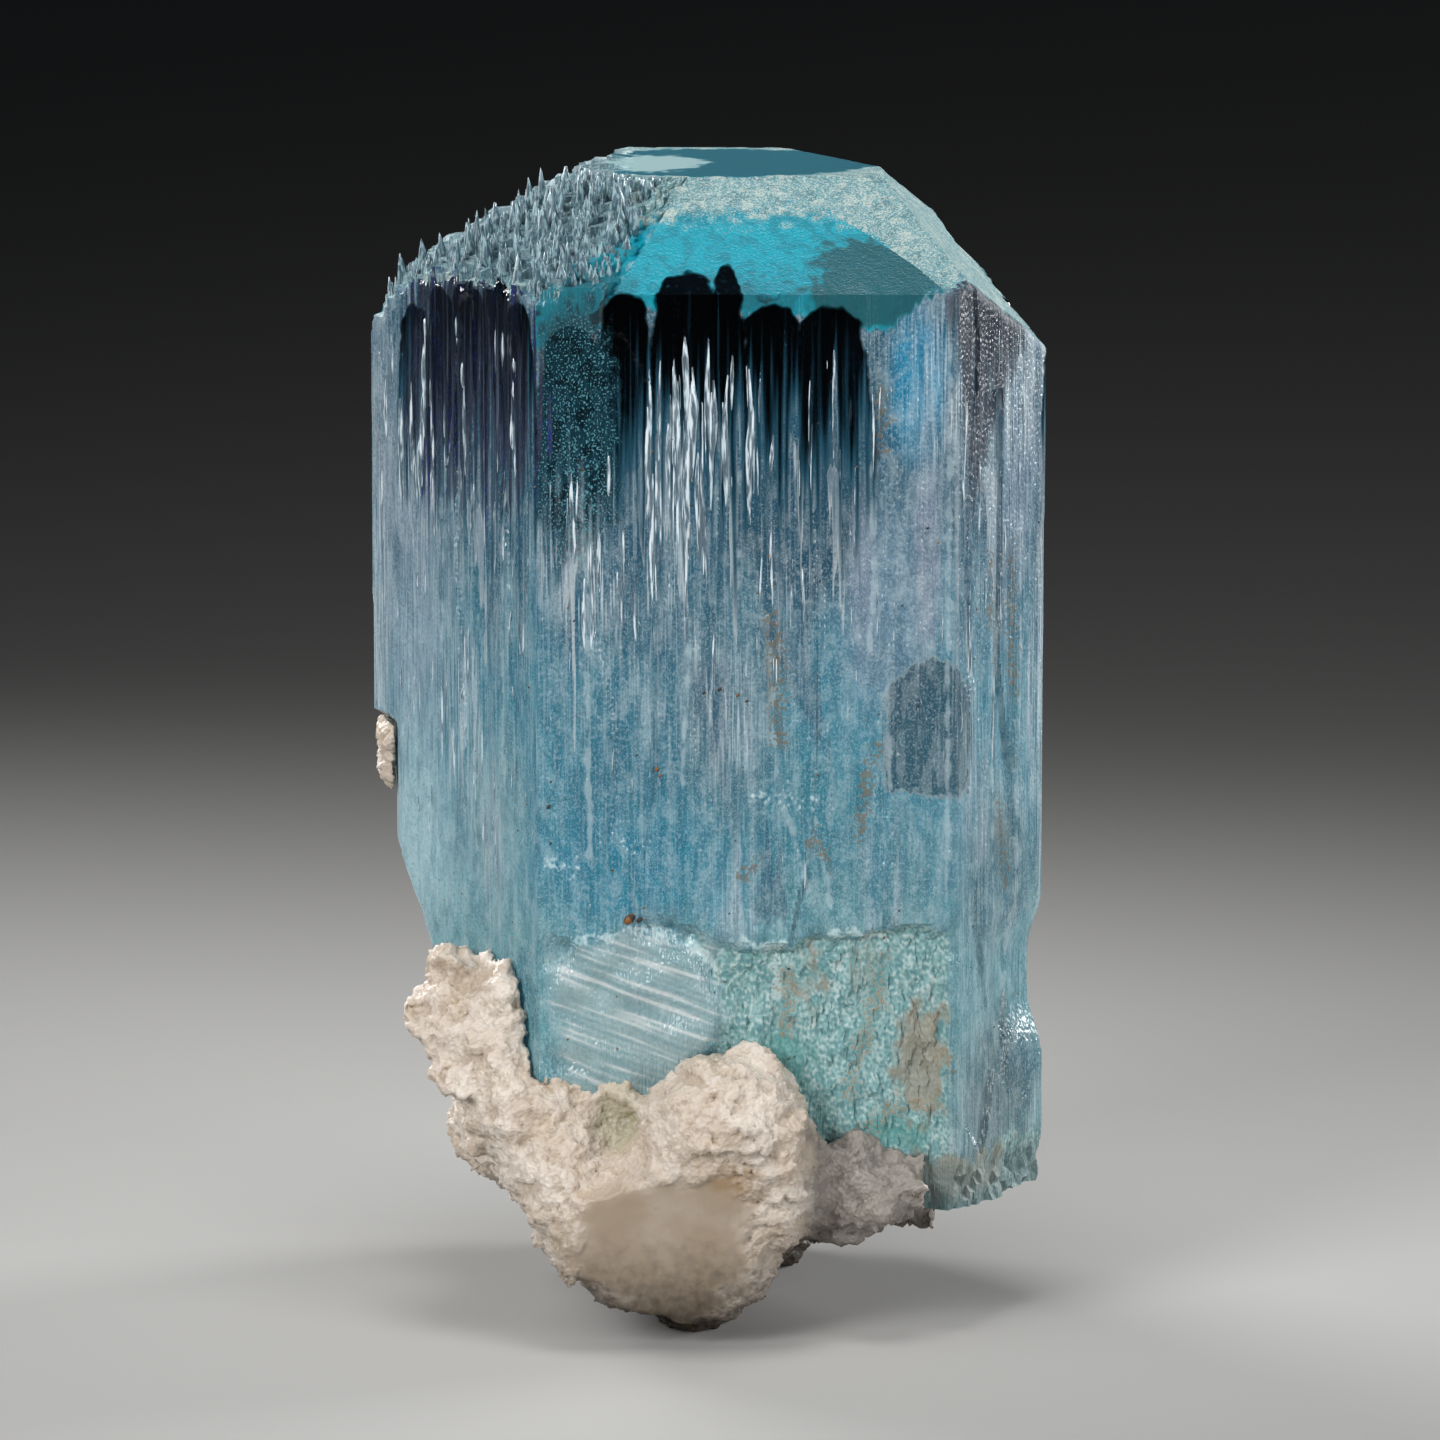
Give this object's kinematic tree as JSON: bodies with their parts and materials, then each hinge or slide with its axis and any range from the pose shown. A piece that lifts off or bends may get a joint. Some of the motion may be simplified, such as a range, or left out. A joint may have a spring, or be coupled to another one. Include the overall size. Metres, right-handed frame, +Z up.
{
  "type": "aquamarine crystal specimen",
  "caption": "Upright six-sided aquamarine crystal with an etched, bevelled end, on white albite matrix that stands on a flat foot.",
  "frame": {"origin": "on the flat foot of the albite matrix, at the level of the surface that the specimen stands on, below the middle of the crystal", "axes": "+Z up along the crystal's prism, +X to the right when the broad front side is seen, -Y towards the viewer of that side"},
  "size_m": [0.0611, 0.0552, 0.1033],
  "materials": {
    "beryl": "clear to milky blue, etched",
    "albite": "white, bladed, matt to pearly"
  },
  "bodies": {
    "root": {"aquamarine_crystal": "beryl", "albite_matrix": "albite", "albite_patch": "albite"}
  },
  "joints": []
}
